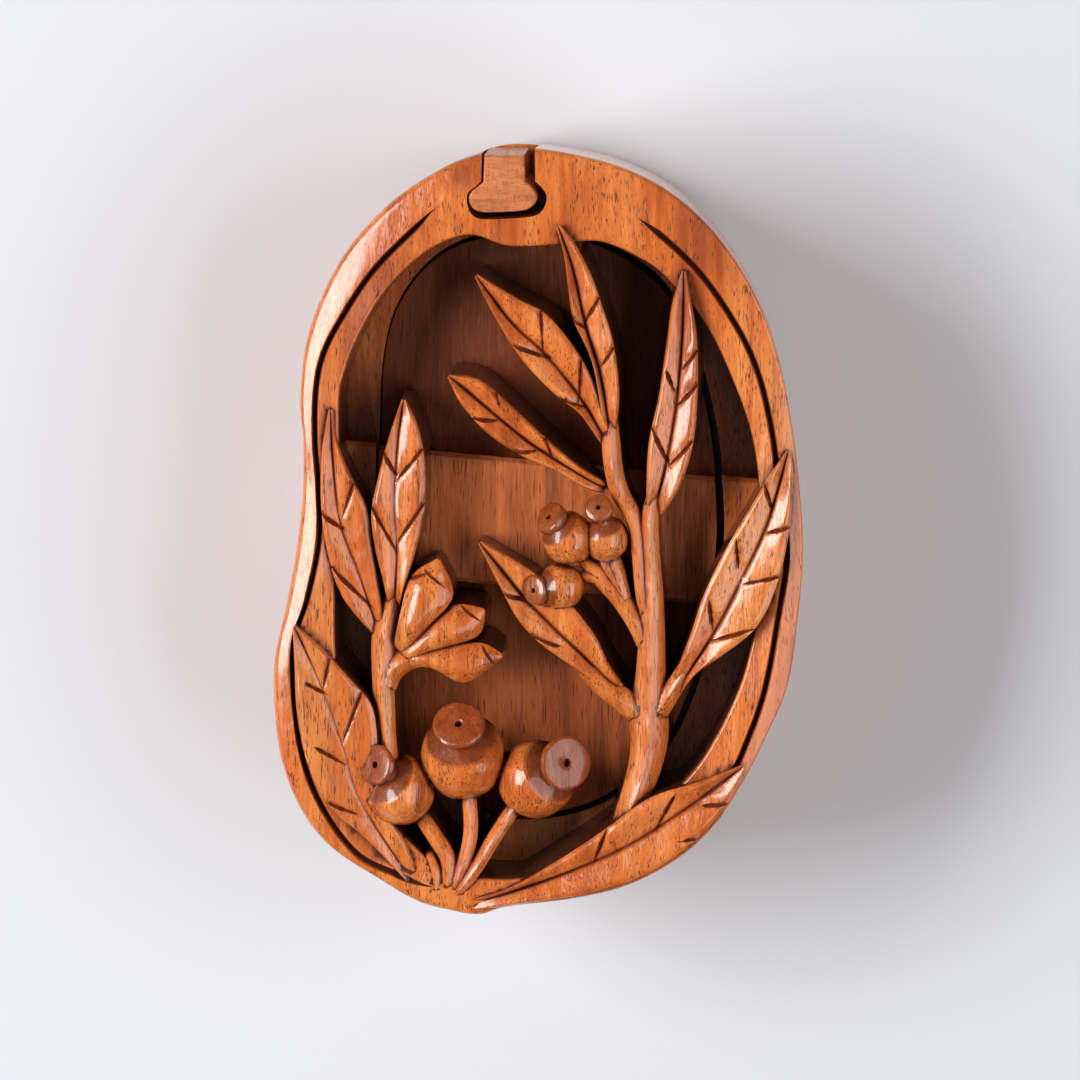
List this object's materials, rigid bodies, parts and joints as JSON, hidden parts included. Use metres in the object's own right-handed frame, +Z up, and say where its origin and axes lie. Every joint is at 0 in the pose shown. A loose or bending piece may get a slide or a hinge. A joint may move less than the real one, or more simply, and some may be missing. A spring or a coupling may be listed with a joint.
{
  "type": "wooden puzzle box",
  "caption": "Small kidney-shaped wooden puzzle box: a pierced, leaf-carved lid slides off along a dovetail tongue once its key is lifted.",
  "frame": {"origin": "centre of the box's plan, on the surface it stands on", "axes": "+Y along the box's length towards the key, +X to the right seen from above, +Z up"},
  "size_m": [0.103, 0.1499, 0.0614],
  "materials": {
    "floor_wood": "matt, lightly oiled",
    "body_wood": "gloss lacquer",
    "inner_wood": "matt, lightly oiled",
    "lid_wood": "gloss lacquer",
    "key_wood": "satin end grain"
  },
  "bodies": {
    "base": {"base_shell": "body_wood", "base_floor": "floor_wood"},
    "inner_lid": {"inner_lid": "inner_wood"},
    "lid": {"carved_lid": "lid_wood"},
    "key": {"key": "key_wood"}
  },
  "joints": [
    {"name": "lid_slide", "type": "slide", "parent": "base", "child": "lid", "axis": [0.9962, -0.0872, 0], "range_m": [0, 0.1]},
    {"name": "key_lift", "type": "slide", "parent": "lid", "child": "key", "axis": [0, 0, 1], "range_m": [0, 0.022]},
    {"name": "inner_lid_lift", "type": "slide", "parent": "base", "child": "inner_lid", "axis": [0, 0, 1], "range_m": [0, 0.0005]}
  ],
  "couplings": [
    {"joint": "key_lift", "follows": "lid_slide", "ratio": 0.22}
  ]
}
